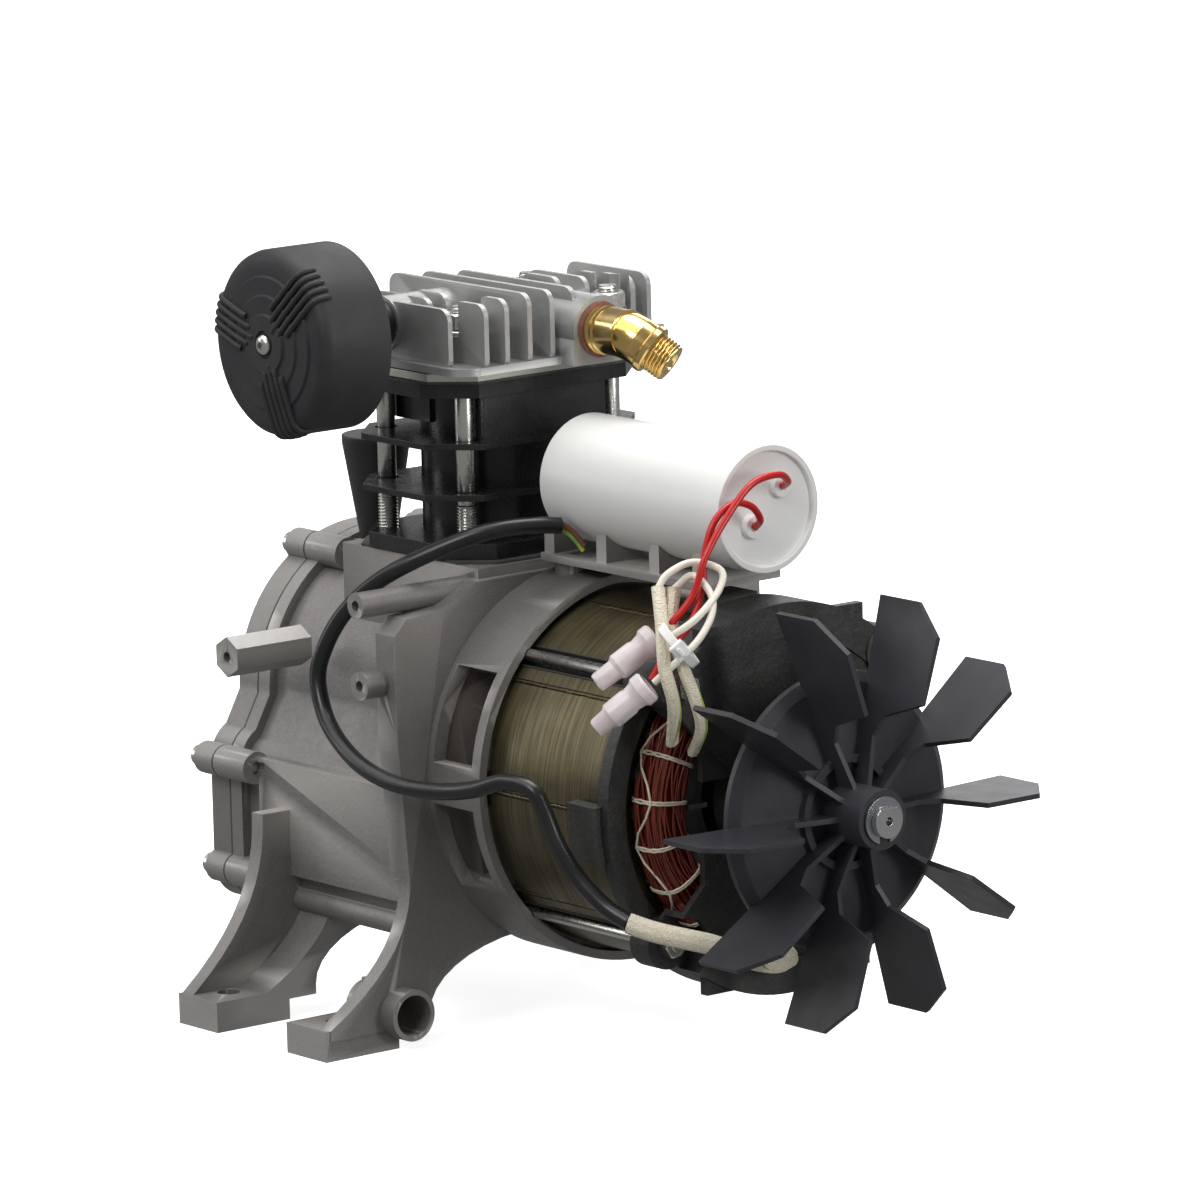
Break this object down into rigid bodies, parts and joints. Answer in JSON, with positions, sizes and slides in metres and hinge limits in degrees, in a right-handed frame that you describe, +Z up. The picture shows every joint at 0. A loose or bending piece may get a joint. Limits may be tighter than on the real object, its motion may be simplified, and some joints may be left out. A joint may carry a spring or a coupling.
{
  "type": "piston air pump",
  "caption": "Direct-drive piston air pump: finned-head cylinder on a die-cast crankcase, open capacitor-run motor, cooling fan, intake filter and brass outlet elbow",
  "frame": {"origin": "middle of the four foot holes on the base plane", "axes": "+X along the crankshaft towards the fan, +Z up along the cylinder, +Y to the side away from the capacitor's lead side"},
  "size_m": [0.3385, 0.256, 0.307],
  "materials": {
    "case_aluminium": "blasted die casting",
    "cover_aluminium": "blasted die casting",
    "head_aluminium": "die cast, machined faces",
    "rod_aluminium": "die cast",
    "piston_aluminium": "turned",
    "rotor_aluminium": "cast",
    "painted_iron": "gloss black paint",
    "bell_iron": "rough black casting",
    "crank_iron": "machined",
    "ring_iron": "ground",
    "bright_steel": "ground",
    "spring_steel": "rolled",
    "shaft_steel": "ground",
    "bearing_steel": "polished",
    "zinc_steel": "bright zinc plate",
    "lamination": "stamped sheet with thin varnish",
    "copper_wire": "dark red enamelled wire",
    "brass": "bright",
    "bronze": "turned",
    "gasket": "matte sheet",
    "seal_rubber": "matte",
    "sight_glass": "clear",
    "black_plastic": "matte",
    "filter_plastic": "fine texture",
    "filter_foam": "open foam",
    "thread_sealant": "dried sealant",
    "fan_plastic": "satin",
    "white_can": "satin",
    "clear_cap": "translucent",
    "white_nylon": "smooth",
    "woven_sleeve": "woven",
    "black_cable": "matte",
    "red_wire": "smooth",
    "white_wire": "smooth"
  },
  "bodies": {
    "housing": {"crankcase": "case_aluminium", "end_cover": "cover_aluminium", "cover_gasket": "gasket", "cover_screws": "zinc_steel", "oil_sight_glass": "sight_glass", "drain_plug": "zinc_steel", "breather_plug": "black_plastic", "cylinder": "painted_iron", "cylinder_base_gasket": "gasket", "lower_head_gasket": "gasket", "valve_plate": "bright_steel", "reed_valves": "spring_steel", "upper_head_gasket": "gasket", "cylinder_head": "head_aluminium", "head_studs": "zinc_steel", "head_nuts": "zinc_steel", "head_washers": "zinc_steel", "inlet_neck": "black_plastic", "filter_base": "black_plastic", "filter_element": "filter_foam", "filter_cover": "filter_plastic", "filter_screw": "zinc_steel", "outlet_seal_ring": "thread_sealant", "outlet_elbow": "brass", "main_bearing_outer": "bearing_steel", "shaft_seal": "seal_rubber", "stator_core": "lamination", "windings": "copper_wire", "end_bell": "bell_iron", "tie_bolts": "zinc_steel", "tie_nuts": "zinc_steel", "fan_bearing_outer": "bearing_steel", "capacitor": "white_can", "capacitor_cradle": "cover_aluminium", "cradle_screws": "zinc_steel", "lead_connectors": "clear_cap", "cable_tie": "white_nylon", "motor_sleeve": "woven_sleeve", "winding_sleeves": "woven_sleeve", "power_lead": "black_cable", "red_leads": "red_wire", "white_leads": "white_wire"},
    "crankshaft_set": {"crankshaft": "shaft_steel", "crank_web": "crank_iron", "crank_pin_bolt": "zinc_steel", "main_bearing_inner": "bearing_steel", "main_bearing_balls": "bearing_steel", "rotor_core": "lamination", "rotor_end_rings": "rotor_aluminium", "fan_bearing_inner": "bearing_steel", "fan_bearing_balls": "bearing_steel", "fan": "fan_plastic", "fan_clip": "spring_steel"},
    "rod": {"connecting_rod": "rod_aluminium", "big_end_bush": "bronze"},
    "piston_set": {"piston": "piston_aluminium", "piston_rings": "ring_iron", "wrist_pin": "shaft_steel"}
  },
  "joints": [
    {"name": "crank_turn", "type": "hinge", "parent": "housing", "child": "crankshaft_set", "pos_m": [0, 0, 0.102], "axis": [1, 0, 0], "continuous": true},
    {"name": "rod_pivot", "type": "hinge", "parent": "crankshaft_set", "child": "rod", "pos_m": [0, 0, 0.088], "axis": [1, 0, 0], "continuous": true},
    {"name": "piston_slide", "type": "slide", "parent": "housing", "child": "piston_set", "axis": [0, 0, 1], "range_m": [0, 0.028]}
  ],
  "couplings": [
    {"joint": "rod_pivot", "follows": "crank_turn", "ratio": -1}
  ]
}
